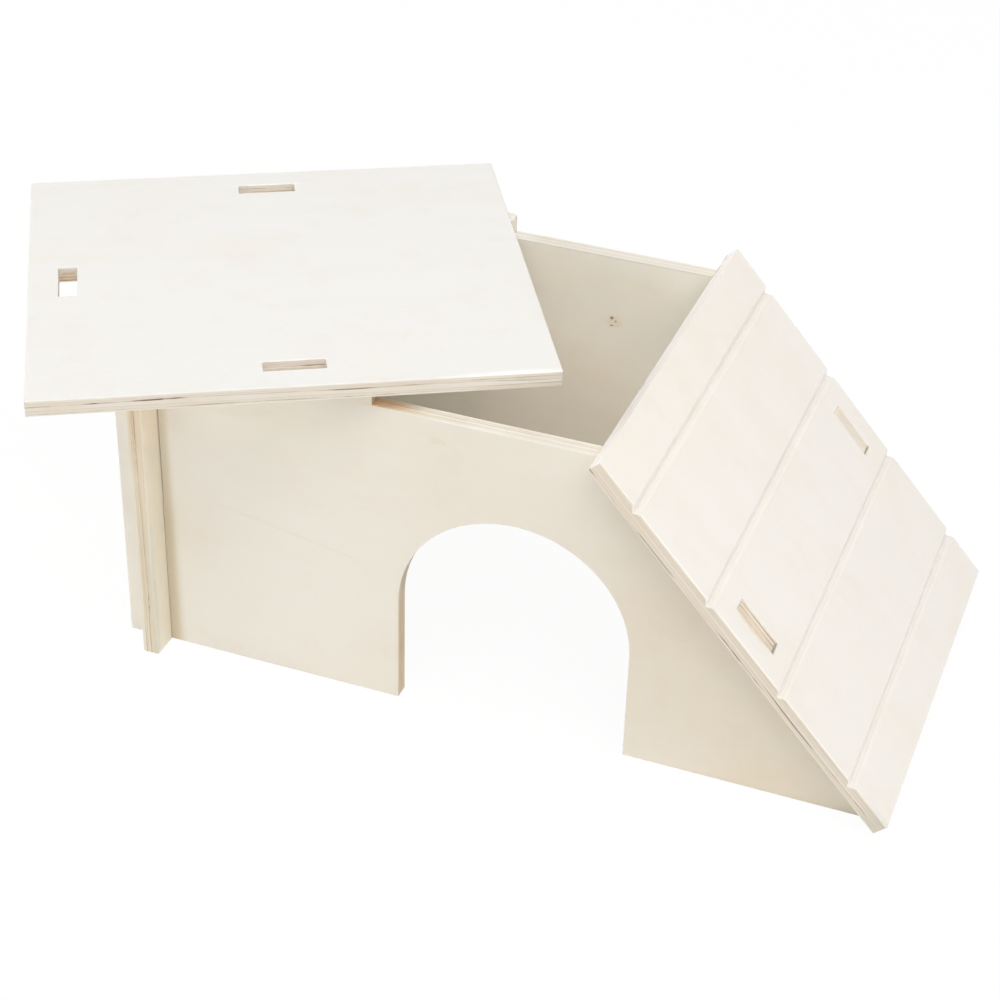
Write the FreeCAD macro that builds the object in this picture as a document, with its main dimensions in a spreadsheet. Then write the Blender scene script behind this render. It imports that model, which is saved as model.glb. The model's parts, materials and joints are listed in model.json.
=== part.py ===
"""Flat-pack wooden hamster house: five plywood boards that plug together without glue or screws.

+X runs along the front wall towards the ramp, +Y from the front wall to the back wall, +Z up.
The origin is on the floor, where the middle planes of the front wall and the end wall cross.
Lengths are in millimetres and angles in degrees.
"""
import FreeCAD, Part
import math
import os

import Sketcher

SIZES = {
    # Walls. The top length runs from the end wall's middle plane to the corner where the slope starts.
    "board_thickness": 5.0,
    "wall_height": 102.5,
    "top_length": 139.9,
    "slope_angle": 47.8,
    "wall_spacing": 113.2,
    "lap_clearance": 0.25,
    # How far boards stand out past the outer face of the end wall, and past those of the front and back walls
    "end_overhang": 9.2,
    "side_overhang": 9.2,
    # Arched doorway, its middle measured from the end wall's middle plane
    "door_width": 72.4,
    "door_height": 72.4,
    "door_centre": 116.3,
    # Tabs that hold the roof, and their slots. The tabs stand proud of the seated roof.
    "roof_tab_length": 17.4,
    "roof_tab_proud": 1.0,
    "roof_slot_side_clearance": 0.1,
    "roof_slot_end_clearance": 0.2,
    "end_slot_side_clearance": 0.3,
    # Tabs on the slope that hold the ramp, and their slots. The tabs end just below the ramp's face.
    "slope_tab_length": 16.6,
    "slope_tab_recess": 0.1,
    "ramp_slot_side_clearance": 0.1,
    "ramp_slot_end_clearance": 0.4,
    "tab_corner_radius": 0.8,
    # Gap between the seated roof and the corner where the slope starts
    "roof_gap": 1.9,
    # The roof lies loose on top of the tabs, turned and shifted from its seat
    "roof_turn": 29.5,
    "roof_shift_to_end": 40.5,
    "roof_shift_to_front": 14.9,
    # Ramp: its lower edge stops short of the floor line, its upper edge passes the top corner, and it has
    # slid down its tabs. The gap and the lip are measured along the slope.
    "ramp_foot_gap": 3.8,
    "ramp_top_lip": 1.0,
    "ramp_slip": 0.3,
    # V grooves across the ramp, for grip
    "groove_count": 4,
    "groove_width": 3.6,
    "groove_depth": 1.7,
}

# Expressions that several boards share. The sheet's object is named Sizes.
FOOT_X = "(Sizes.top_length + Sizes.wall_height / tan(Sizes.slope_angle))"
SLOPE_LENGTH = "(Sizes.wall_height / sin(Sizes.slope_angle))"
RAMP_LENGTH = f"({SLOPE_LENGTH} - Sizes.ramp_foot_gap + Sizes.ramp_top_lip)"
SLOPE_TAB_MIDDLE = f"(Sizes.ramp_foot_gap + {RAMP_LENGTH} / 2)"
END_REACH = "(Sizes.board_thickness / 2 + Sizes.end_overhang)"
SIDE_REACH = "(Sizes.wall_spacing / 2 + Sizes.board_thickness / 2 + Sizes.side_overhang)"
ROOF_LENGTH = f"(Sizes.top_length - Sizes.roof_gap + {END_REACH})"
ROOF_MIDDLE = f"((Sizes.top_length - Sizes.roof_gap - {END_REACH}) / 2)"
ROOF_TAB_HEIGHT = "(Sizes.board_thickness + Sizes.roof_tab_proud)"
LAP_SLOT = "(Sizes.board_thickness + 2 * Sizes.lap_clearance)"


def make_sheet(document):
    """The driving dimensions, one named cell each."""
    sheet = document.addObject("Spreadsheet::Sheet", "Sizes")
    for row, (alias, value) in enumerate(SIZES.items(), start=1):
        sheet.set(f"A{row}", alias)
        sheet.set(f"B{row}", str(value))
        sheet.setAlias(f"B{row}", alias)
    document.recompute()


def make_board(document, name, corners, position, turn):
    """A body that holds one flat board, drawn about its own middle plane and then stood in its place.

    position is three expressions, and turn is the rotation's axis and an expression for its angle.
    """
    body = document.addObject("PartDesign::Body", name)
    body.Label = name
    add_pad(body, "plate", corners)
    axis, angle = turn
    axis_text = "; ".join(str(part) for part in axis)
    body.setExpression(
        "Placement",
        f"placement(vector({'; '.join(position)}); rotation(vector({axis_text}); {angle}))",
    )
    return body


def new_sketch(body, name, plane_role="XY_Plane"):
    """An empty sketch on one of the body's own origin planes."""
    plane = next(item for item in body.Origin.OriginFeatures if item.Role == plane_role)
    sketch = body.newObject("Sketcher::SketchObject", name)
    sketch.AttachmentSupport = [(plane, "")]
    sketch.MapMode = "FlatFace"
    return sketch


def number(owner, expression):
    """The value of an expression over the sheet's cells."""
    return float(owner.evalExpression(expression))


def pin_point(sketch, geometry, point, x, y):
    """Ties a point of the sketch to two expressions, measured from the origin."""
    for kind, expression in (("DistanceX", x), ("DistanceY", y)):
        value = number(sketch, expression)
        index = sketch.addConstraint(Sketcher.Constraint(kind, -1, 1, geometry, point, value))
        sketch.setExpression(f"Constraints[{index}]", expression)


def draw_polygon(sketch, corners):
    """A closed outline whose corners are pairs of expressions."""
    points = [FreeCAD.Vector(number(sketch, x), number(sketch, y), 0) for x, y in corners]
    sides = []
    for start, end in zip(points, points[1:] + points[:1]):
        sides.append(sketch.addGeometry(Part.LineSegment(start, end), False))
    for side, following in zip(sides, sides[1:] + sides[:1]):
        sketch.addConstraint(Sketcher.Constraint("Coincident", side, 2, following, 1))
    for side, (x, y) in zip(sides, corners):
        pin_point(sketch, side, 1, x, y)


def rectangle(middle_x, low_y, length, height):
    """Corners of an upright rectangle, as expressions."""
    left = f"{middle_x} - {length} / 2"
    right = f"{middle_x} + {length} / 2"
    top = f"{low_y} + {height}"
    return [(left, low_y), (right, low_y), (right, top), (left, top)]


def on_slope(along, out):
    """A point of a wall's plane, given by its way up the slope from the foot and its height off the slope."""
    x = f"{FOOT_X} - {along} * cos(Sizes.slope_angle) + {out} * sin(Sizes.slope_angle)"
    y = f"{along} * sin(Sizes.slope_angle) + {out} * cos(Sizes.slope_angle)"
    return x, y


def add_pad(body, name, corners):
    """One board's thickness of wood, half to each side of the board's middle plane."""
    sketch = new_sketch(body, f"{name}_sketch")
    draw_polygon(sketch, corners)
    pad = body.newObject("PartDesign::Pad", name)
    pad.Profile = sketch
    pad.SideType = "Symmetric"
    pad.setExpression("Length", "Sizes.board_thickness")


def add_cut(body, name, sketch):
    """A cut right through the board, which has to take wood away."""
    body.Document.recompute()
    before = body.Shape.Volume
    pocket = body.newObject("PartDesign::Pocket", name)
    pocket.Profile = sketch
    pocket.Type = "ThroughAll"
    pocket.SideType = "Symmetric"
    body.Document.recompute()
    if body.Shape.Volume >= before:
        raise RuntimeError(f"{name} cuts nothing from {body.Label}")
    return pocket


def add_slot(body, name, corners):
    """A cut of any straight-sided outline through the board."""
    sketch = new_sketch(body, f"{name}_sketch")
    draw_polygon(sketch, corners)
    return add_cut(body, name, sketch)


def round_tab_corners(body, name, outward):
    """Rounds the two corners of a tab that reach furthest outward in the board's plane."""
    body.Document.recompute()
    base = body.Tip
    upright = []
    for number_of_edge, edge in enumerate(base.Shape.Edges, start=1):
        start, end = edge.Vertexes[0].Point, edge.Vertexes[-1].Point
        if math.hypot(end.x - start.x, end.y - start.y) < 1e-6:
            upright.append((start.dot(outward), f"Edge{number_of_edge}"))
    furthest = max(reach for reach, _ in upright)
    names = [edge_name for reach, edge_name in upright if furthest - reach < 1e-6]
    fillet = body.newObject("PartDesign::Fillet", name)
    fillet.Base = (base, names)
    fillet.setExpression("Radius", "Sizes.tab_corner_radius")


def add_roof_tab(body, middle_x):
    """The tab on a wall's top edge that passes through the roof."""
    corners = rectangle(
        middle_x,
        "Sizes.wall_height - Sizes.board_thickness",
        "Sizes.roof_tab_length",
        f"Sizes.board_thickness + {ROOF_TAB_HEIGHT}",
    )
    add_pad(body, "roof_tab", corners)
    round_tab_corners(body, "roof_tab_rounding", FreeCAD.Vector(0, 1, 0))


def add_slope_tab(body):
    """The tab on a wall's slope that plugs into the ramp."""
    low = f"({SLOPE_TAB_MIDDLE} - Sizes.slope_tab_length / 2)"
    high = f"({SLOPE_TAB_MIDDLE} + Sizes.slope_tab_length / 2)"
    root = "(-Sizes.board_thickness)"
    tip = "(Sizes.board_thickness - Sizes.slope_tab_recess)"
    add_pad(body, "slope_tab", [on_slope(low, root), on_slope(low, tip), on_slope(high, tip), on_slope(high, root)])
    angle = math.radians(number(body, "Sizes.slope_angle"))
    round_tab_corners(body, "slope_tab_rounding", FreeCAD.Vector(math.sin(angle), math.cos(angle), 0))


def make_side_wall(document, name, position_y):
    """The outline that the front and back walls share: a stub past the end wall, the slope and two tabs."""
    outline = [
        (f"-{END_REACH}", "0"),
        (FOOT_X, "0"),
        ("Sizes.top_length", "Sizes.wall_height"),
        (f"-{END_REACH}", "Sizes.wall_height"),
    ]
    wall = make_board(document, name, outline, ("0", position_y, "0"), ((1, 0, 0), "90"))
    add_slope_tab(wall)
    add_roof_tab(wall, ROOF_MIDDLE)
    add_slot(wall, "lap_slot", rectangle("0", "Sizes.wall_height / 2", LAP_SLOT, "Sizes.wall_height / 2"))
    return wall


def cut_doorway(wall):
    """The arch: upright jambs under a half circle."""
    radius = "Sizes.door_width / 2"
    spring = f"Sizes.door_height - {radius}"
    middle_x, half_width, height = (number(wall, text) for text in ("Sizes.door_centre", radius, spring))
    left, right = middle_x - half_width, middle_x + half_width
    sketch = new_sketch(wall, "doorway_sketch")
    circle = Part.Circle(FreeCAD.Vector(middle_x, height, 0), FreeCAD.Vector(0, 0, 1), half_width)
    arch = sketch.addGeometry(Part.ArcOfCircle(circle, 0, math.pi), False)
    points = [FreeCAD.Vector(x, y, 0) for x, y in ((left, height), (left, 0), (right, 0), (right, height))]
    left_jamb, sill, right_jamb = (
        sketch.addGeometry(Part.LineSegment(one, other), False) for one, other in zip(points, points[1:])
    )
    for one, other in ((arch, left_jamb), (left_jamb, sill), (sill, right_jamb), (right_jamb, arch)):
        sketch.addConstraint(Sketcher.Constraint("Coincident", one, 2, other, 1))
    for jamb in (left_jamb, right_jamb):
        sketch.addConstraint(Sketcher.Constraint("Vertical", jamb))
    for end_point in (1, 2):
        sketch.addConstraint(Sketcher.Constraint("Horizontal", arch, end_point, arch, 3))
    sketch.addConstraint(Sketcher.Constraint("Horizontal", sill))
    sketch.addConstraint(Sketcher.Constraint("PointOnObject", sill, 1, -1))
    pin_point(sketch, arch, 3, "Sizes.door_centre", spring)
    index = sketch.addConstraint(Sketcher.Constraint("Radius", arch, half_width))
    sketch.setExpression(f"Constraints[{index}]", radius)
    add_cut(wall, "doorway", sketch)


def make_end_wall(document):
    """The wall that drops over the front and back walls and stands out past both."""
    outline = rectangle("0", "0", f"2 * {SIDE_REACH}", "Sizes.wall_height")
    wall = make_board(document, "end_wall", outline, ("0", "Sizes.wall_spacing / 2", "0"), ((1, 1, 1), "120"))
    add_roof_tab(wall, "0")
    for name, side in (("front_lap_slot", "-"), ("back_lap_slot", "")):
        corners = rectangle(f"{side}Sizes.wall_spacing / 2", "0", LAP_SLOT, "Sizes.wall_height / 2")
        add_slot(wall, name, corners)
    return wall


def make_roof(document):
    """The loose roof, with a slot for each of the three roof tabs, drawn about its own middle."""
    outline = rectangle("0", f"-{SIDE_REACH}", ROOF_LENGTH, f"2 * {SIDE_REACH}")
    position = (
        f"{ROOF_MIDDLE} - Sizes.roof_shift_to_end",
        "Sizes.wall_spacing / 2 - Sizes.roof_shift_to_front",
        f"Sizes.wall_height + {ROOF_TAB_HEIGHT} + Sizes.board_thickness / 2",
    )
    roof = make_board(document, "roof", outline, position, ((0, 0, 1), "Sizes.roof_turn"))
    slot_length = "(Sizes.roof_tab_length + 2 * Sizes.roof_slot_end_clearance)"
    slot_width = "(Sizes.board_thickness + 2 * Sizes.roof_slot_side_clearance)"
    for name, side in (("front_slot", "-"), ("back_slot", "")):
        low = f"{side}Sizes.wall_spacing / 2 - {slot_width} / 2"
        add_slot(roof, name, rectangle("0", low, slot_length, slot_width))
    end_width = "(Sizes.board_thickness + 2 * Sizes.end_slot_side_clearance)"
    add_slot(roof, "end_slot", rectangle(f"-{ROOF_MIDDLE}", f"-{slot_length} / 2", end_width, slot_length))
    return roof


def make_ramp(document):
    """The grooved ramp on the slope, drawn about its own middle with X pointing down the slope."""
    outline = rectangle("0", f"-{SIDE_REACH}", RAMP_LENGTH, f"2 * {SIDE_REACH}")
    middle_x, middle_z = on_slope(f"({SLOPE_TAB_MIDDLE} - Sizes.ramp_slip)", "Sizes.board_thickness / 2")
    position = (middle_x, "Sizes.wall_spacing / 2", middle_z)
    ramp = make_board(document, "ramp", outline, position, ((0, 1, 0), "Sizes.slope_angle"))
    slot_length = "(Sizes.slope_tab_length + 2 * Sizes.ramp_slot_end_clearance)"
    slot_width = "(Sizes.board_thickness + 2 * Sizes.ramp_slot_side_clearance)"
    for name, side in (("front_slot", "-"), ("back_slot", "")):
        low = f"{side}Sizes.wall_spacing / 2 - {slot_width} / 2"
        add_slot(ramp, name, rectangle("0", low, slot_length, slot_width))
    cut_grooves(ramp)
    return ramp


def cut_grooves(ramp):
    """V grooves from side to side, with half a pitch of plain board before the first and after the last."""
    pitch = f"({RAMP_LENGTH} / round(Sizes.groove_count))"
    first = f"({pitch} - {RAMP_LENGTH}) / 2"
    face = "Sizes.board_thickness / 2"
    sketch = new_sketch(ramp, "groove_sketch", "XZ_Plane")
    draw_polygon(
        sketch,
        [
            (f"{first} - Sizes.groove_width / 2", face),
            (first, f"{face} - Sizes.groove_depth"),
            (f"{first} + Sizes.groove_width / 2", face),
        ],
    )
    groove = add_cut(ramp, "groove", sketch)
    grooves = ramp.newObject("PartDesign::LinearPattern", "grooves")
    grooves.Originals = [groove]
    grooves.Direction = (sketch, ["H_Axis"])
    grooves.setExpression("Length", f"{RAMP_LENGTH} - {pitch}")
    grooves.setExpression("Occurrences", "round(Sizes.groove_count)")
    ramp.Tip = grooves


def check(document, boards):
    """Stops if an object failed to build or a board isn't one sound solid."""
    for item in document.Objects:
        if "Invalid" in item.State or "Error" in item.State:
            raise RuntimeError(f"{item.Label} failed: {item.State}")
    for board in boards:
        shape = board.Shape
        if shape.isNull() or not shape.isValid() or len(shape.Solids) != 1:
            raise RuntimeError(f"{board.Label} is not one sound solid")


def main():
    document = FreeCAD.newDocument("hamster_house")
    make_sheet(document)
    front_wall = make_side_wall(document, "front_wall", "0")
    cut_doorway(front_wall)
    back_wall = make_side_wall(document, "back_wall", "Sizes.wall_spacing")
    boards = [front_wall, back_wall, make_end_wall(document), make_roof(document), make_ramp(document)]
    document.recompute()
    check(document, boards)
    os.makedirs("parts", exist_ok=True)
    for board in boards:
        board.Shape.exportStep(f"parts/{board.Label}.step")
        box = board.Shape.BoundBox
        print(
            f"{board.Label}: volume {board.Shape.Volume:.1f} mm3, "
            f"x {box.XMin:.2f} to {box.XMax:.2f}, y {box.YMin:.2f} to {box.YMax:.2f}, "
            f"z {box.ZMin:.2f} to {box.ZMax:.2f}"
        )


main()
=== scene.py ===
"""Looks of the flat-pack hamster house: five plywood boards on a white studio floor.

The frame is the model's own: +X runs along the front wall towards the ramp, +Y from the front wall to
the back wall, +Z up. Lengths are in metres and angles in degrees, except that the plywood's own
coordinates and sizes are in millimetres, as their names or comments say.
"""
import json
import math

import bpy
from mathutils import Matrix, Vector


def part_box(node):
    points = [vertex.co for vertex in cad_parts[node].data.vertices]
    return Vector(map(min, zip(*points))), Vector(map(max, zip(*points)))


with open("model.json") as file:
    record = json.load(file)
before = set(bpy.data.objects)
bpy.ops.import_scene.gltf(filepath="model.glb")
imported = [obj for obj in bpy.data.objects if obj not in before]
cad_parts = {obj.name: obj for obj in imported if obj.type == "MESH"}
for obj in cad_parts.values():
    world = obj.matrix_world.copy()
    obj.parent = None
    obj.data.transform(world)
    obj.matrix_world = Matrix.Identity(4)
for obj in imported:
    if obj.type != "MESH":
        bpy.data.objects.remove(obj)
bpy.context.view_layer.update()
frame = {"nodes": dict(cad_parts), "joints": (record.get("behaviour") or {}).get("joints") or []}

MILLIMETRE = 0.001

# Camera, from a perspective fit of the boards to the photograph
CAMERA_AZIMUTH = 19.79
CAMERA_ELEVATION = 33.59
CAMERA_ROLL = 1.71
CAMERA_TARGET = (0.09548, 0.04158, 0.04935)
CAMERA_DISTANCE = 0.7107
CAMERA_LENS = 82.99

# Studio. The lamp size is the length of a lamp's edge, and power is in watts.
WORLD_LIGHT = 0.15
FLOOR_SIZE = 12.0
FLOOR_COLOUR = (250, 250, 249)
FLOOR_SHADOW_SHARE = 0.055
LAMPS = {
    "top": {"place": (0.1, -0.7, 1.5), "power": 14.2},
    "front": {"place": (0.2, -1.5, 0.6), "power": 4.2},
    "left": {"place": (-1.5, 0.2, 0.6), "power": 13.0},
    "right": {"place": (1.1, -0.6, 1.4), "power": 14.2},
    "back": {"place": (0.2, 1.3, 1.2), "power": 6.0},
}
LAMP_SIZE = 1.2
LAMP_TARGET = (0.08, 0.05, 0.05)

# Turn of the loose roof about the vertical
ROOF_TURN = 29.5

# Board edges
EDGE_RADIUS = 0.0004
EDGE_SEGMENTS = 3
WELD_DISTANCE = 1e-6
SHARP_ANGLE = 50.0

# Plywood. A profile of a glue line runs this far each way from a board's middle.
PROFILE_REACH_MM = 125.0
HALF_THICKNESS_MM = 2.5

# Detail and roughness of the soft noises and of the rough ones
SOFT_NOISE = (3.0, 0.5)
ROUGH_NOISE = (3.0, 0.6)

# Each noise is shifted by the board's seed plus its own number, with these shares along the three axes.
SHIFT_SHARES = (1.0, 0.7, 1.3)
NOISE_SHIFTS = {
    "fibre": 0,
    "line_sway": 0,
    "line_breaks": 4,
    "figure": 5,
    "patches": 9,
    "blotches": 12,
    "ply_tones": 15,
    "uneven_marks": 25,
}

# Glue lines: half widths and sway in millimetres, the shares of the half width between which a line fades
# out, and the scales per millimetre of the noises that sway a line and break up its dark stretches
LINE_HALF_WIDTH_MM = 0.07
DARK_LINE_EXTRA_MM = 0.16
LINE_SWAY_MM = 0.35
LINE_NOISE_SPACING_MM = 40.0
LINE_EDGE_SHARES = (1.6, 0.5)
LINE_SWAY_SCALE = 0.05
LINE_BREAK_SCALE = 0.13
LINE_BREAK_RANGE = (0.25, 0.6)
FAINT_LINE_TINT = (0.80, 0.69, 0.58)
FAINT_LINE_SHARE = 0.3
FACE_LINE_SHARE = 0.25
DARK_LINE_COLOUR = (104, 64, 38)

# Variations of a face veneer. Each noise has a stretch along each axis, a scale per millimetre, a detail
# and a roughness, and the tint comes in over the range.
FACE_VARIATIONS = [
    {
        "noise": "patches",
        "stretch": (1, 1, 1),
        "scale": 0.03,
        "detail": 3.0,
        "roughness": 0.55,
        "range": (0.45, 0.72),
        "tint": (0.995, 0.98, 0.96),
    },
    {
        "noise": "blotches",
        "stretch": (1, 1, 1),
        "scale": 0.07,
        "detail": 5.0,
        "roughness": 0.65,
        "range": (0.5, 0.66),
        "tint": (0.99, 0.98, 0.975),
    },
    {
        "noise": "figure",
        "stretch": (0.006, 0.09, 0.09),
        "scale": 1.0,
        "detail": 4.0,
        "roughness": 0.55,
        "range": (0.4, 0.75),
        "tint": (0.992, 0.985, 0.97),
    },
]

# Fibre streaks: scales per millimetre along and across the streaks, and their tints
STREAK_SCALE_ALONG = 0.04
STREAK_SCALE_ACROSS = 2.2
FACE_FIBRE_RANGE = (0.55, 0.85)
FACE_FIBRE_TINT = (0.985, 0.975, 0.955)
EDGE_FIBRE_RANGE = (0.5, 0.8)
EDGE_FIBRE_TINT = (0.97, 0.95, 0.92)

# Sawn edges: how far a surface faces through its board where it is all face, and where it is all edge.
# Each ply has its own tone, from a noise that a ply's number moves along.
SAWN_FACING = (0.7, 0.35)
END_GRAIN_TINT = (0.965, 0.94, 0.91)
PLY_TONE_SCALE = 0.012
PLY_TONE_STEP = 7.3
PLY_TONE_NOISE = (2.0, 0.5)
PLY_TONE_RANGE = (0.42, 0.62)
PLY_TONE_TINT = (0.985, 0.965, 0.93)

# Groove sides: painted shade on those that face up the slope and painted light on those that face down it,
# with the ranges of leaning along the board over which these tints come in and go out again
GROOVE_LEAN_IN = (0.3, 0.5)
GROOVE_LEAN_OUT = (0.92, 0.8)
GROOVE_UP_SIDE_PAINTED_SHADE = (0.895, 0.90, 0.905)
GROOVE_DOWN_SIDE_PAINTED_LIGHT = (1.13, 1.15, 1.18)

# Marks: the tint is full within this share of a mark's reach, and the noise shifts an uneven mark's edge
MARK_CORE_SHARE = 0.3
MARK_NOISE_STRETCH = (0.5, 1, 1)
MARK_NOISE_SCALE = 0.8
MARK_UNEVENNESS = 1.2

# Surface. The bump's depth is in metres.
FACE_ROUGHNESS = 0.58
FIBRE_ROUGHNESS = 0.12
SAWN_ROUGHNESS = 0.15
FACE_RELIEF = 0.08
SAWN_RELIEF = 0.2
BUMP_STRENGTH = 0.6
BUMP_DEPTH = 0.0002
SPECULAR_LEVEL = 0.3

# Glue lines of each board from its back to its front face. Each point of a line gives the place along
# the board, the depth from the board's middle (both in millimetres) and how dark the line is there.
GLUE_LINES = {
    "front_wall": [
        [
            (-122, -1.5, 0.1), (60, -1.5, 0.15), (68, -1.5, 0.7), (92, -1.5, 0.7), (100, -1.5, 0.15),
        ],
        [
            (-122, -0.3, 0.1), (-45, -0.3, 0.4), (-20, -0.4, 0.4), (25, -0.6, 0.25), (60, 0.2, 0.25),
            (68, 0.2, 0.6), (92, 0.2, 0.6), (100, 0.2, 0.1),
        ],
        [(-122, 0.7, 0.1), (-40, 0.9, 0.25), (-15, 0.9, 0.15), (100, 0.8, 0.1)],
        [(-122, 1.7, 0.05), (122, 1.6, 0.1)],
    ],
    "back_wall": [
        [(-122, -1.6, 0.1), (122, -1.6, 0.1)],
        [(-122, -0.8, 0.1), (60, -0.8, 0.1), (80, -0.8, 0.3), (122, -0.8, 0.1)],
        [(-122, 0.5, 0.05), (122, 0.6, 0.1)],
        [(-122, 1.6, 0.05), (122, 1.6, 0.05)],
    ],
    "end_wall": [
        [(-54, -1.3, 0.5), (-47, -1.3, 0.4), (-44, -1.5, 0.1), (54, -1.6, 0.1)],
        [(-54, -0.6, 0.1), (10, -0.9, 0.1), (54, -0.8, 0.25)],
        [
            (-54, 0.1, 0.6), (-47, 0.1, 0.5), (-44, 0.15, 0.4), (-39, 0.3, 0.4), (-37.5, 0.4, 0.9),
            (-34, 0.4, 0.9), (-32.5, 0.45, 0.45), (-26, 0.4, 0.25), (10, -0.2, 0.2), (27, -0.4, 0.4),
            (46, -0.4, 0.5), (49, -0.4, 0.9), (54, -0.4, 0.9),
        ],
        [(-54, 1.7, 0.0), (54, 1.7, 0.05)],
    ],
    "roof": [
        [
            (-75, -1.75, 0.15), (-35, -1.75, 0.2), (-28, -1.75, 0.45), (20, -1.75, 0.4), (30, -1.7, 0.15),
            (75, -1.8, 0.1),
        ],
        [(-75, -0.8, 0.1), (45, -0.8, 0.05), (58, -0.9, 0.3), (75, -0.9, 0.35)],
        [
            (-75, 0.45, 0.4), (-66, 0.5, 0.35), (-60, 0.6, 0.15), (-56, 0.65, 0.8), (-34, 0.9, 0.9),
            (-30, 0.95, 0.2), (8, 0.7, 0.25), (11, 0.65, 0.7), (19, 0.7, 0.7), (23, 0.75, 0.2),
            (28, 0.75, 0.4), (37, 0.8, 0.35), (44, 0.6, 0.15), (60, 0.3, 0.35), (75, 0.25, 0.4),
        ],
        [(-75, 1.6, 0.05), (44, 1.5, 0.05), (50, 1.3, 0.35), (60, 1.3, 0.35), (75, 1.4, 0.15)],
    ],
    "ramp": [
        [
            (-69, -1.5, 0.8), (-66, -1.5, 0.6), (-63, -1.6, 0.3), (-57, -1.7, 0.3), (-54, -1.8, 0.1),
            (-46, -1.8, 0.15), (-44, -1.7, 0.55), (-30, -1.8, 0.55), (-27, -1.8, 0.1), (-9, -1.8, 0.2),
            (-6, -1.7, 0.7), (13, -1.6, 0.65), (16, -1.6, 0.1), (69, -1.7, 0.1),
        ],
        [
            (-69, -0.5, 0.05), (10, -0.6, 0.1), (19, -0.7, 0.7), (35, -0.9, 0.65), (38, -0.9, 0.3),
            (44, -0.8, 0.3), (47, -0.7, 0.6), (60, -0.6, 0.6), (63, -0.5, 0.2), (69, -0.5, 0.2),
        ],
        [(-69, 0.5, 0.05), (69, 0.5, 0.1)],
        [(-69, 1.56, 0.05), (0, 1.56, 0.15), (69, 1.56, 0.3)],
    ],
}

# Looks of the boards. side_tint and end_tint are the shares of the face colour at the sawn sides, which
# face across the board, and at its sawn ends. slant moves the glue lines' pattern along the board with
# the distance from the edge at front_edge (millimetres across), so that no other edge repeats that one.
LOOKS = {
    "front_wall": {
        "seed": 3.0,
        "face": (223, 217, 205),
        "side_tint": (0.97, 0.94, 0.90),
        "end_tint": (0.96, 0.92, 0.87),
        "front_edge": 0.0,
        "slant": 0.0,
    },
    "back_wall": {
        "seed": 11.0,
        # A paler face than the other boards: partly the veneer's own colour, partly painted light against
        # the shade inside the house.
        "face": (246, 240, 226),
        "side_tint": (0.98, 0.97, 0.94),
        "end_tint": (0.98, 0.96, 0.92),
        "front_edge": 0.0,
        "slant": 0.0,
    },
    "end_wall": {
        "seed": 19.0,
        "face": (240, 233, 217),
        "side_tint": (0.97, 0.95, 0.92),
        "end_tint": (0.97, 0.95, 0.92),
        "front_edge": 68.3,
        "slant": 0.5,
    },
    "roof": {
        "seed": 27.0,
        "face": (228, 226, 222),
        "side_tint": (0.89, 0.85, 0.79),
        "end_tint": (0.97, 0.94, 0.90),
        "front_edge": -68.3,
        "slant": 0.5,
    },
    "ramp": {
        "seed": 35.0,
        "face": (241, 236, 229),
        "side_tint": (0.81, 0.785, 0.74),
        "end_tint": (1.08, 1.12, 1.20),
        "front_edge": -68.3,
        "slant": 0.5,
    },
}

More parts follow.
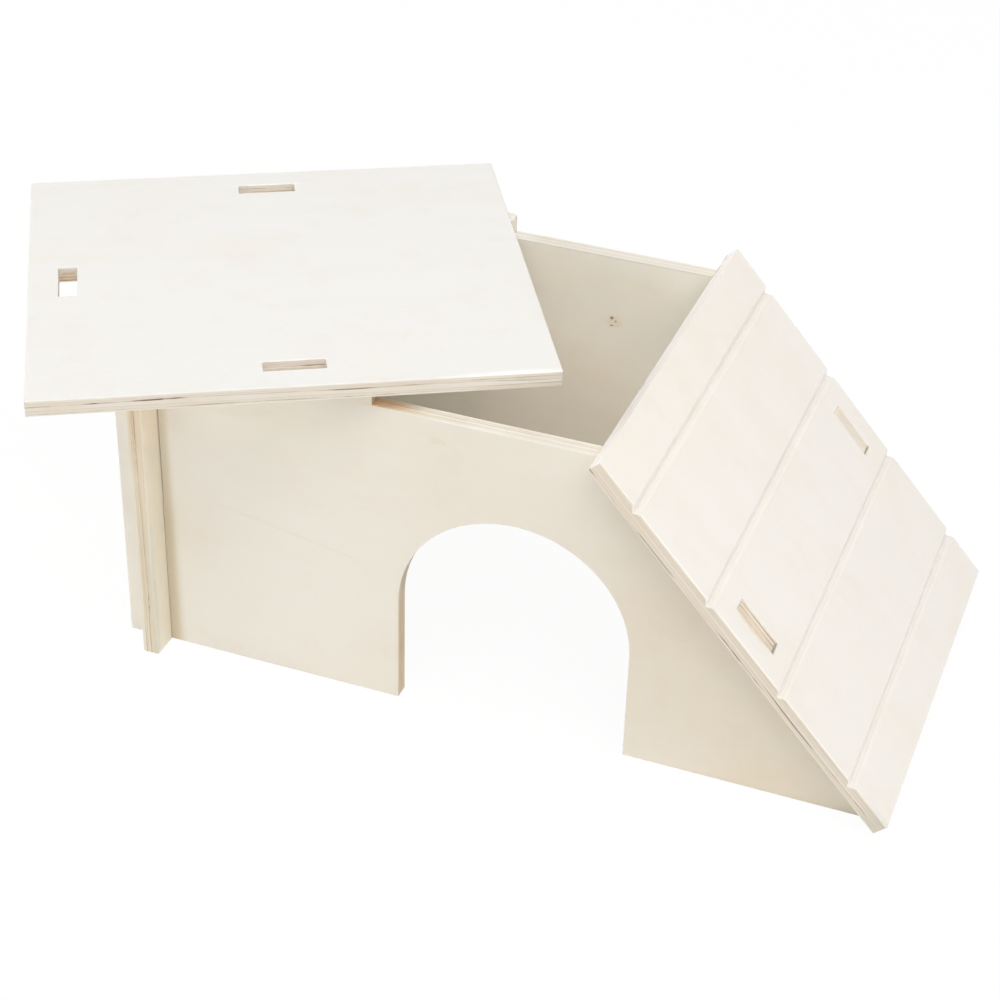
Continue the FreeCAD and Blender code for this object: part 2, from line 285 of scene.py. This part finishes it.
# Broad tones: place and reach in millimetres along, across and through the board, and tint. Some are tones
# of the wood, and many are painted light and shade that even out the lighting, as the comments below say.
SMOOTH_TONES_AND_PAINTED_LIGHT = {
    "front_wall": [
        # Painted light on the front face: lighter at the top left, where the roof's shadow falls, and over
        # the left and lower part.
        ((-107, 48, 2.5), (42, 60, 4.8), (1.14, 1.14, 1.15)),
        ((-77, 50, 2.5), (37, 38, 4.8), (1.10, 1.10, 1.08)),
        ((-95, -20, 2.5), (85, 70, 4.8), (1.03, 1.04, 1.06)),
        # Painted shadow on the front face beside the end wall's proud edge, wider towards the floor.
        ((-107.8, 0, 2.5), (4, 250, 4.8), (0.88, 0.85, 0.79)),
        ((-107.8, -45, 2.5), (5.8, 95, 4.8), (0.84, 0.80, 0.71)),
        # Painted light on the end of the front face beyond the end wall.
        ((-119, 0, 2.5), (11, 150, 4.8), (1.07, 1.075, 1.08)),
        # Painted shade on the front face below the ramp, darker and warmer.
        ((75, -5, 2.5), (75, 75, 4.8), (0.95, 0.92, 0.87)),
        ((95, -54, 2.5), (38, 20, 4.8), (0.985, 0.965, 0.93)),
        # Painted light on the inner face, which lies in the shade inside the house.
        ((0, 0, -2.5), (250, 120, 0.6), (1.18, 1.16, 1.12)),
        ((30, 48.25, 0), (75, 0.8, 7), (1.08, 1.12, 1.20)),
        # Painted light on the top edge where the roof's shadow falls.
        ((-12, 48.25, 0), (22, 0.8, 7), (1.12, 1.14, 1.17)),
    ],
    "back_wall": [
        # Painted light and shade on the inner face: warmer low on the left, and lighter and darker patches
        # that even out the shade inside the house.
        ((-25, -5, 2.5), (62, 38, 4.8), (1.02, 0.985, 0.945)),
        ((-38, 20, 2.5), (22, 60, 4.8), (1.05, 1.05, 1.06)),
        ((0, 32, 2.5), (28, 22, 4.8), (0.95, 0.95, 0.95)),
        ((22, 0, 2.5), (26, 55, 4.8), (1.04, 1.04, 1.04)),
        ((20, 48.25, 0), (110, 0.8, 7), (0.85, 0.88, 0.94)),
        ((-35.3, 52, 0), (9, 6, 9), (1.08, 1.16, 1.30)),
    ],
    "end_wall": [
        ((-40, 68.3, 0), (64, 3, 9), (0.87, 0.88, 0.89)),
        ((-20, 68.3, -0.1), (46, 3, 1.5), (0.91, 0.87, 0.81)),
        ((-10, 62, 2.5), (80, 8, 3), (0.965, 0.935, 0.90)),
        # Painted shade low down and painted light high up, under the roof, on the end wall's face towards
        # the ramp at its front end.
        ((-50, 62, 2.5), (85, 14, 3), (0.895, 0.905, 0.895)),
        ((45, 62, 2.5), (32, 14, 3), (1.14, 1.08, 1.01)),
        # Painted light: the outer face a little lighter.
        ((0, 0, -2.5), (120, 120, 0.6), (1.03, 1.035, 1.04)),
    ],
    "roof": [
        ((62, -68.3, 0), (28, 3, 9), (1.13, 1.14, 1.14)),
        # Painted light: the underside lighter, though it lies in shade.
        ((0, 0, -2.5), (180, 180, 0.6), (1.16, 1.14, 1.10)),
    ],
    "ramp": [
        ((-60, 0, 2.5), (34, 95, 9), (1.0, 0.993, 0.98)),
        ((68, -68.3, 0), (12, 3, 9), (0.90, 0.92, 0.92)),
    ],
}

# Marks with an uneven edge: the same, and last the turn in the board's plane. A few are painted shade and
# light, as the comments below say.
UNEVEN_MARKS_AND_PAINTED_SHADE = {
    "front_wall": [
        # Orange-brown on the top edge under the roof: partly scorch, partly painted warm shade, with the
        # red lifted as painted light in the roof's shadow.
        ((-38, 48.25, 0), (15, 1.2, 3.5), (1.10, 0.86, 0.66), 0),
        ((-30.5, -38, 0), (1.5, 36, 5), (1.0, 0.95, 0.88), 0),
        ((-18.7, 41.2, 2.5), (3.5, 1.6, 0.6), (0.965, 0.94, 0.90), 0),
        ((-64, -3, 2.5), (36, 0.9, 0.6), (0.98, 0.97, 0.945), -10),
        ((77.4, 2.6, 0), (12, 3, 4), (1.22, 1.21, 1.24), -47.8),
    ],
    "back_wall": [
        ((77.4, 2.6, 0), (12, 3, 4), (0.91, 0.92, 0.99), -47.8),
        ((-2.9, 25.0, 2.5), (3.6, 3.0, 0.6), (0.95, 0.91, 0.85), 0),
        ((-3.5, 26.4, 2.5), (0.85, 0.65, 0.6), (0.40, 0.28, 0.18), 0),
        ((-2.1, 25.3, 2.5), (0.5, 0.45, 0.6), (0.60, 0.46, 0.34), 0),
        ((-3.4, 23.6, 2.5), (0.9, 0.4, 0.6), (0.55, 0.40, 0.28), 20),
    ],
    "end_wall": [
        ((32, 68.3, -0.6), (26, 3, 1.1), (0.94, 0.84, 0.75), 0),
    ],
    "roof": [
        ((31, -68.3, 0.8), (8, 2, 0.5), (0.94, 0.87, 0.78), 0),
        ((-66, -68.3, -0.1), (10, 2, 0.6), (0.985, 0.96, 0.87), 0),
        # The end slot's far wall darker and browner: painted shade deep in the slot, with some scorch.
        ((-63, 8.9, -0.9), (6, 1.0, 2.6), (0.88, 0.80, 0.71), 0),
        ((-63, 8.9, 0.42), (5, 1.0, 0.45), (0.78, 0.67, 0.56), 0),
        ((-63, 8.9, -0.76), (5, 1.0, 0.35), (0.83, 0.76, 0.68), 0),
        ((-63, 8.9, -1.9), (5, 1.0, 0.5), (0.80, 0.75, 0.68), 0),
        # The end slot's left wall lighter: painted light on a wall in shade, and a paler cut.
        ((-65.95, 0, 0), (0.8, 10, 4), (1.06, 1.09, 1.14), 0),
        ((0, -54, 0), (14, 1.0, 7), (1.10, 1.07, 1.07), 0),
        ((0, -54, -0.4), (14, 1.0, 0.8), (0.80, 0.77, 0.71), 0),
        ((0, 59.2, 0), (14, 1.0, 7), (1.18, 1.19, 1.20), 0),
        ((0, 59.2, -0.8), (14, 1.0, 0.6), (0.84, 0.78, 0.75), 0),
    ],
    "ramp": [
        ((-1, -59.8, 2.5), (11, 1.5, 0.5), (0.94, 0.87, 0.80), 0),
    ],
}


def srgb(red, green, blue):
    """A linear colour from 8-bit sRGB numbers."""
    values = []
    for channel in (red, green, blue):
        share = channel / 255
        values.append(share / 12.92 if share <= 0.04045 else ((share + 0.055) / 1.055) ** 2.4)
    return (*values, 1.0)


class Graph:
    """Builds the nodes of one material. Each method takes sockets or numbers and returns a socket."""

    def __init__(self, material):
        material.use_nodes = True
        self.tree = material.node_tree
        self.tree.nodes.clear()

    def node(self, kind, inputs=None, **settings):
        """A new node, its settings set, and its inputs linked or filled in by name or number."""
        made = self.tree.nodes.new(kind)
        for name, value in settings.items():
            setattr(made, name, value)
        for name, value in (inputs or {}).items():
            self.feed(made.inputs[name], value)
        return made

    def feed(self, socket, value):
        """Links an output to the socket, or sets the socket's own value."""
        if isinstance(value, bpy.types.NodeSocket):
            self.tree.links.new(value, socket)
        else:
            socket.default_value = value

    def math(self, operation, first, second=0.0):
        return self.node("ShaderNodeMath", {0: first, 1: second}, operation=operation).outputs[0]

    def step(self, value, low, high):
        """0 below low and 1 above high, with a smooth rise between. High may be under low."""
        inputs = {"Value": value, "From Min": low, "From Max": high}
        return self.node("ShaderNodeMapRange", inputs, interpolation_type="SMOOTHSTEP").outputs["Result"]

    def noise(self, place, scale, detail, roughness):
        """Noise about 0.5 over a place given in millimetres."""
        inputs = {"Vector": place, "Scale": scale, "Detail": detail, "Roughness": roughness}
        return self.node("ShaderNodeTexNoise", inputs).outputs["Fac"]

    def profile(self, share, stops):
        """A colour that changes evenly from one stop to the next. Each stop is a position and a colour."""
        made = self.node("ShaderNodeValToRGB", {"Fac": share})
        elements = made.color_ramp.elements
        while len(elements) < len(stops):
            elements.new(1.0)
        for element, (position, colour) in zip(elements, stops):
            element.position = position
            element.color = colour
        return made.outputs["Color"]

    def point(self, x, y, z):
        return self.node("ShaderNodeCombineXYZ", {"X": x, "Y": y, "Z": z}).outputs[0]

    def split(self, vector):
        """The three numbers of a vector or colour."""
        return tuple(self.node("ShaderNodeSeparateXYZ", {0: vector}).outputs)

    def stretched(self, place, scale, shift):
        """A place scaled along each axis and shifted, so that each use of a noise differs."""
        location = tuple(shift * share for share in SHIFT_SHARES)
        inputs = {"Vector": place, "Scale": scale, "Location": location}
        return self.node("ShaderNodeMapping", inputs).outputs[0]

    def about_zero(self, share, swing):
        """A share from 0 to 1 made into a number about 0 that goes over the whole swing."""
        return self.math("MULTIPLY", self.math("SUBTRACT", share, 0.5), swing)

    def mix(self, share, first, second, blend="MIX"):
        """A mix of two colours."""
        made = self.node("ShaderNodeMix", data_type="RGBA", blend_type=blend)
        names = ("Factor_Float", "A_Color", "B_Color")
        factor, one, other = (socket for socket in made.inputs if socket.identifier in names)
        for socket, value in ((factor, share), (one, first), (other, second)):
            self.feed(socket, value)
        return next(socket for socket in made.outputs if socket.identifier == "Result_Color")

    def blend(self, share, first, second):
        """A mix of two numbers."""
        inputs = {"Factor": share, "A": first, "B": second}
        return self.node("ShaderNodeMix", inputs, data_type="FLOAT").outputs[0]

    def tint(self, share, colour, shares):
        """A colour multiplied by a share of each channel, as far as the first share says."""
        return self.mix(share, colour, (*shares, 1.0), blend="MULTIPLY")


class Board:
    """A board's middle, its own axes (along the face grain, across it, through it) and its looks."""

    def __init__(self, node, along, across):
        self.node = node
        self.along = Vector(along).normalized()
        self.across = Vector(across).normalized()
        self.through = self.along.cross(self.across)
        low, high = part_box(node)
        self.middle = (low + high) / 2
        self.looks = LOOKS[node]
        self.seed = self.looks["seed"]

    def turn(self):
        """The turn from the board's own axes to the frame's."""
        axes = Matrix((self.along, self.across, self.through)).transposed()
        return axes.to_euler()


def describe_boards():
    """The five boards. The ramp's axes come from the joint that pulls it off its slope."""
    ramp_joint = next(joint for joint in frame["joints"] if joint["child"] == "ramp_board")
    slope_normal = Vector(ramp_joint["axis"])
    turn = math.radians(ROOF_TURN)
    right = Vector((1, 0, 0))
    back = Vector((0, 1, 0))
    up = Vector((0, 0, 1))
    roof_along = (math.cos(turn), math.sin(turn), 0)
    roof_across = (-math.sin(turn), math.cos(turn), 0)
    return [
        Board("front_wall", right, up),
        Board("back_wall", right, up),
        Board("end_wall", up, -back),
        Board("roof", roof_along, roof_across),
        Board("ramp", back.cross(slope_normal), back),
    ]


def ease_edges(board):
    """Takes the sharpness off a board's edges, as sanding does."""
    piece = frame["nodes"][board.node]
    weld = piece.modifiers.new("weld", "WELD")
    weld.merge_threshold = WELD_DISTANCE
    bevel = piece.modifiers.new("eased_edges", "BEVEL")
    bevel.width = EDGE_RADIUS
    bevel.segments = EDGE_SEGMENTS
    bevel.limit_method = "ANGLE"
    bevel.angle_limit = math.radians(SHARP_ANGLE)
    bevel.harden_normals = True


def board_place(graph, board):
    """The place on the board in millimetres: x along the face grain, y across it, z through it."""
    source = graph.node("ShaderNodeTexCoord").outputs["Object"]
    inputs = {
        "Vector": source,
        "Location": tuple(board.middle),
        "Rotation": tuple(board.turn()),
        "Scale": (MILLIMETRE, MILLIMETRE, MILLIMETRE),
    }
    return graph.node("ShaderNodeMapping", inputs, vector_type="TEXTURE").outputs[0]


def board_facing(graph, board):
    """How far the surface faces along the board's three axes, each from -1 to 1."""
    normal = graph.node("ShaderNodeTexCoord").outputs["Normal"]
    shares = []
    for axis in (board.along, board.across, board.through):
        inputs = {0: normal, 1: tuple(axis)}
        product = graph.node("ShaderNodeVectorMath", inputs, operation="DOT_PRODUCT")
        shares.append(product.outputs["Value"])
    return shares


def read_profile(graph, share, points):
    """The darkness and the depth of one glue line along the board."""
    stops = []
    for along, line_depth, darkness in points:
        position = (along + PROFILE_REACH_MM) / (2 * PROFILE_REACH_MM)
        depth_share = (line_depth + HALF_THICKNESS_MM) / (2 * HALF_THICKNESS_MM)
        stops.append((position, (darkness, depth_share, 0.0, 1.0)))
    darkness, depth_share, _ = graph.split(graph.profile(share, stops))
    return darkness, graph.about_zero(depth_share, 2 * HALF_THICKNESS_MM)


def swayed_depth(graph, board, place, line_depth):
    """The depth of a glue line with a slow sway."""
    own_place = graph.stretched(place, (1, 1, 1), board.seed + NOISE_SHIFTS["line_sway"])
    sway = graph.noise(own_place, LINE_SWAY_SCALE, *SOFT_NOISE)
    return graph.math("ADD", line_depth, graph.about_zero(sway, 2 * LINE_SWAY_MM))


def broken_darkness(graph, board, place, darkness):
    """The darkness of a glue line, broken into stretches."""
    own_place = graph.stretched(place, (1, 1, 1), board.seed + NOISE_SHIFTS["line_breaks"])
    breaks = graph.noise(own_place, LINE_BREAK_SCALE, *ROUGH_NOISE)
    return graph.math("MULTIPLY", darkness, graph.step(breaks, *LINE_BREAK_RANGE))


def line_share(graph, above, darkness):
    """1 on a glue line and 0 beside it. A dark line is wider."""
    reach = graph.math("MULTIPLY", darkness, DARK_LINE_EXTRA_MM)
    reach = graph.math("ADD", reach, LINE_HALF_WIDTH_MM)
    far, near = (graph.math("MULTIPLY", reach, share) for share in LINE_EDGE_SHARES)
    return graph.step(graph.math("ABSOLUTE", above), far, near)


class Plies:
    """The five plies of a board: which ply a point is in, and the glue lines between them."""

    def __init__(self, graph, board, place):
        along, across, depth = graph.split(place)
        from_front = graph.math("SUBTRACT", across, board.looks["front_edge"])
        shifted = graph.math("ADD", along, graph.math("MULTIPLY", from_front, board.looks["slant"]))
        from_end = graph.math("ADD", shifted, PROFILE_REACH_MM)
        share = graph.math("DIVIDE", from_end, 2 * PROFILE_REACH_MM)
        self.number = 0.0
        self.line = 0.0
        self.darkness = 0.0
        for index, points in enumerate(GLUE_LINES[board.node]):
            own_place = graph.point(along, across, LINE_NOISE_SPACING_MM * index)
            darkness, line_depth = read_profile(graph, share, points)
            above = graph.math("SUBTRACT", depth, swayed_depth(graph, board, own_place, line_depth))
            darkness = broken_darkness(graph, board, own_place, darkness)
            shown = line_share(graph, above, darkness)
            dark = graph.math("MULTIPLY", shown, darkness)
            self.number = graph.math("ADD", self.number, graph.math("GREATER_THAN", above, 0.0))
            self.line = graph.math("MAXIMUM", self.line, shown)
            self.darkness = graph.math("MAXIMUM", self.darkness, dark)
        self.crossed = graph.math("PINGPONG", self.number, 1.0)


def wood_fibre(graph, board, place, crossed):
    """Fine streaks, along the face grain in the outer and middle plies and across it in the others."""
    with_grain = (STREAK_SCALE_ALONG, STREAK_SCALE_ACROSS, STREAK_SCALE_ACROSS)
    cross_grain = (STREAK_SCALE_ACROSS, STREAK_SCALE_ALONG, STREAK_SCALE_ACROSS)
    shift = board.seed + NOISE_SHIFTS["fibre"]
    streaks = [
        graph.noise(graph.stretched(place, scales, shift), 1.0, *ROUGH_NOISE)
        for scales in (with_grain, cross_grain)
    ]
    return graph.blend(crossed, *streaks)


def face_colour(graph, board, place, fibre):
    """The nearly plain colour of a face veneer: soft warm patches, a broad figure and faint streaks."""
    colour = srgb(*board.looks["face"])
    for look in FACE_VARIATIONS:
        own_place = graph.stretched(place, look["stretch"], board.seed + NOISE_SHIFTS[look["noise"]])
        noise = graph.noise(own_place, look["scale"], look["detail"], look["roughness"])
        colour = graph.tint(graph.step(noise, *look["range"]), colour, look["tint"])
    return graph.tint(graph.step(fibre, *FACE_FIBRE_RANGE), colour, FACE_FIBRE_TINT)


def edge_colour(graph, board, place, plies, facing, fibre, face):
    """The colour of a sawn edge: plies in turn in long grain and in darker end grain."""
    along, across, _ = graph.split(place)
    at_end = graph.math("MULTIPLY", facing[0], facing[0])
    at_side = graph.math("MULTIPLY", facing[1], facing[1])
    end_grain = graph.blend(plies.crossed, at_end, at_side)
    ply_place = graph.point(
        graph.math("MULTIPLY", along, PLY_TONE_SCALE),
        graph.math("MULTIPLY", across, PLY_TONE_SCALE),
        graph.math("MULTIPLY", plies.number, PLY_TONE_STEP),
    )
    own_place = graph.stretched(ply_place, (1, 1, 1), board.seed + NOISE_SHIFTS["ply_tones"])
    own_tone = graph.noise(own_place, 1.0, *PLY_TONE_NOISE)
    colour = graph.tint(at_side, face, board.looks["side_tint"])
    colour = graph.tint(at_end, colour, board.looks["end_tint"])
    colour = graph.tint(end_grain, colour, END_GRAIN_TINT)
    colour = graph.tint(graph.step(own_tone, *PLY_TONE_RANGE), colour, PLY_TONE_TINT)
    return graph.tint(graph.step(fibre, *EDGE_FIBRE_RANGE), colour, EDGE_FIBRE_TINT)


def mark_share(graph, place, middle, reach, turn=0.0, unevenness=0.0):
    """1 in the middle of a mark and 0 outside it, with a soft edge that the unevenness shifts."""
    rotation = (0, 0, math.radians(turn))
    inputs = {"Vector": place, "Location": middle, "Rotation": rotation, "Scale": reach}
    local = graph.node("ShaderNodeMapping", inputs, vector_type="TEXTURE").outputs[0]
    distance = graph.node("ShaderNodeVectorMath", {0: local}, operation="LENGTH").outputs["Value"]
    return graph.step(graph.math("ADD", distance, unevenness), 1.0, MARK_CORE_SHARE)


def add_marks_and_painted_light(graph, board, place, colour):
    """Broad tones of the veneers and the sawn edges, with painted light and shade among them, then knots,
    smudges, scorched or torn patches, and painted shade and light at the roof's end slot and on the front
    wall's top edge under the roof.
    """
    for middle, reach, tint in SMOOTH_TONES_AND_PAINTED_LIGHT[board.node]:
        colour = graph.tint(mark_share(graph, place, middle, reach), colour, tint)
    own_place = graph.stretched(place, MARK_NOISE_STRETCH, board.seed + NOISE_SHIFTS["uneven_marks"])
    uneven = graph.about_zero(graph.noise(own_place, MARK_NOISE_SCALE, *ROUGH_NOISE), MARK_UNEVENNESS)
    for middle, reach, tint, turn in UNEVEN_MARKS_AND_PAINTED_SHADE[board.node]:
        colour = graph.tint(mark_share(graph, place, middle, reach, turn, uneven), colour, tint)
    return colour


def paint_groove_light_and_shade(graph, facing, colour):
    """Painted shade on the ramp's groove sides that face up the slope and painted light on those that face
    down it.
    """
    for direction, tint in ((-1.0, GROOVE_UP_SIDE_PAINTED_SHADE), (1.0, GROOVE_DOWN_SIDE_PAINTED_LIGHT)):
        along = graph.math("MULTIPLY", facing[0], direction)
        comes_in = graph.step(along, *GROOVE_LEAN_IN)
        goes_out = graph.step(along, *GROOVE_LEAN_OUT)
        colour = graph.tint(graph.math("MULTIPLY", comes_in, goes_out), colour, tint)
    return colour


def wood_colour(graph, board, place, facing, sawn, plies, fibre):
    """The colour of the wood without its glue lines, with painted light and shade from the tones, the
    marks and, on the ramp, the groove sides.
    """
    face = face_colour(graph, board, place, fibre)
    edge = edge_colour(graph, board, place, plies, facing, fibre, face)
    colour = add_marks_and_painted_light(graph, board, place, graph.mix(sawn, face, edge))
    # The ramp's groove sides get painted shade and painted light by the way they face.
    if board.node == "ramp":
        colour = paint_groove_light_and_shade(graph, facing, colour)
    return colour


def draw_glue_lines(graph, colour, sawn, plies):
    """The colour with the glue lines drawn in, and how dark they are. They show less on groove sides."""
    shown = graph.blend(sawn, FACE_LINE_SHARE, 1.0)
    faint = graph.math("MULTIPLY", graph.math("MULTIPLY", plies.line, shown), FAINT_LINE_SHARE)
    dark = graph.math("MULTIPLY", plies.darkness, shown)
    colour = graph.tint(faint, colour, FAINT_LINE_TINT)
    return graph.mix(dark, colour, srgb(*DARK_LINE_COLOUR)), dark


def wood_roughness(graph, sawn, fibre):
    """Roughness, more on the fibre streaks and on the sawn edges."""
    rough = graph.math("ADD", FACE_ROUGHNESS, graph.math("MULTIPLY", fibre, FIBRE_ROUGHNESS))
    return graph.math("ADD", rough, graph.math("MULTIPLY", sawn, SAWN_ROUGHNESS))


def wood_bump(graph, sawn, fibre, dark):
    """Raised fibres, more on the sawn edges, and sunk dark glue lines."""
    strength = graph.math("ADD", FACE_RELIEF, graph.math("MULTIPLY", sawn, SAWN_RELIEF))
    relief = graph.math("SUBTRACT", graph.math("MULTIPLY", fibre, strength), dark)
    inputs = {"Strength": BUMP_STRENGTH, "Distance": BUMP_DEPTH, "Height": relief}
    return graph.node("ShaderNodeBump", inputs).outputs[0]


def make_plywood(board):
    """Solid plywood: pale face veneers, five plies at the sawn edges, and partly dark glue lines."""
    material = bpy.data.materials.new(f"plywood_{board.node}")
    graph = Graph(material)
    place = board_place(graph, board)
    facing = board_facing(graph, board)
    sawn = graph.step(graph.math("ABSOLUTE", facing[2]), *SAWN_FACING)
    plies = Plies(graph, board, place)
    fibre = wood_fibre(graph, board, place, plies.crossed)
    colour = wood_colour(graph, board, place, facing, sawn, plies, fibre)
    colour, dark = draw_glue_lines(graph, colour, sawn, plies)
    inputs = {
        "Base Color": colour,
        "Roughness": wood_roughness(graph, sawn, fibre),
        "Normal": wood_bump(graph, sawn, fibre, dark),
    }
    shader = graph.node("ShaderNodeBsdfPrincipled", inputs)
    shader.inputs["Specular IOR Level"].default_value = SPECULAR_LEVEL
    graph.node("ShaderNodeOutputMaterial", {"Surface": shader.outputs[0]})
    return material


def finish_board(board):
    """Eased edges and plywood for one board."""
    ease_edges(board)
    piece = frame["nodes"][board.node]
    piece.material_slots[0].material = make_plywood(board)


def camera_only(graph):
    """1 for what the camera sees straight, in a mirror or through glass, and 0 for light."""
    path = graph.node("ShaderNodeLightPath").outputs
    seen = graph.math("MAXIMUM", path["Is Camera Ray"], path["Is Glossy Ray"])
    return graph.math("MAXIMUM", seen, path["Is Transmission Ray"])


def make_floor():
    """A plain white floor that shows the object's shadow faintly."""
    mesh = bpy.data.meshes.new("floor")
    half = FLOOR_SIZE / 2
    corners = [(-half, -half, 0), (half, -half, 0), (half, half, 0), (-half, half, 0)]
    mesh.from_pydata(corners, [], [(0, 1, 2, 3)])
    floor = bpy.data.objects.new("floor", mesh)
    bpy.context.scene.collection.objects.link(floor)
    material = bpy.data.materials.new("floor")
    graph = Graph(material)
    matt = graph.node("ShaderNodeBsdfDiffuse", {"Color": srgb(*FLOOR_COLOUR)}).outputs[0]
    white = graph.node("ShaderNodeEmission", {"Color": (1, 1, 1, 1), "Strength": 1.0}).outputs[0]
    share = graph.math("MULTIPLY", camera_only(graph), 1 - FLOOR_SHADOW_SHARE)
    surface = graph.node("ShaderNodeMixShader", {0: share, 1: matt, 2: white}).outputs[0]
    graph.node("ShaderNodeOutputMaterial", {"Surface": surface})
    mesh.materials.append(material)


def make_world():
    """Even light from all sides, and pure white where the camera looks past the floor."""
    world = bpy.data.worlds.new("studio")
    bpy.context.scene.world = world
    graph = Graph(world)
    extra = graph.math("MULTIPLY", camera_only(graph), 1 - WORLD_LIGHT)
    inputs = {"Color": (1, 1, 1, 1), "Strength": graph.math("ADD", WORLD_LIGHT, extra)}
    background = graph.node("ShaderNodeBackground", inputs).outputs[0]
    graph.node("ShaderNodeOutputWorld", {"Surface": background})


def add_lamps():
    """Large square lamps, all turned to the house."""
    for name, lamp in LAMPS.items():
        light = bpy.data.lights.new(name, "AREA")
        light.size = LAMP_SIZE
        light.energy = lamp["power"]
        holder = bpy.data.objects.new(name, light)
        holder.location = lamp["place"]
        away = Vector(lamp["place"]) - Vector(LAMP_TARGET)
        holder.rotation_euler = away.to_track_quat("Z", "Y").to_euler()
        bpy.context.scene.collection.objects.link(holder)


def add_camera():
    """The camera at the photograph's angle."""
    data = bpy.data.cameras.new("camera")
    data.lens = CAMERA_LENS
    camera = bpy.data.objects.new("camera", data)
    turn = (
        Matrix.Rotation(math.radians(CAMERA_AZIMUTH), 4, "Z")
        @ Matrix.Rotation(math.radians(90 - CAMERA_ELEVATION), 4, "X")
        @ Matrix.Rotation(math.radians(CAMERA_ROLL), 4, "Z")
    )
    back = turn.to_3x3() @ Vector((0, 0, 1))
    camera.matrix_world = Matrix.Translation(Vector(CAMERA_TARGET) + back * CAMERA_DISTANCE) @ turn
    bpy.context.scene.collection.objects.link(camera)
    bpy.context.scene.camera = camera


add_camera()
make_world()
make_floor()
add_lamps()
for board in describe_boards():
    finish_board(board)
bpy.context.scene.view_settings.view_transform = "Standard"
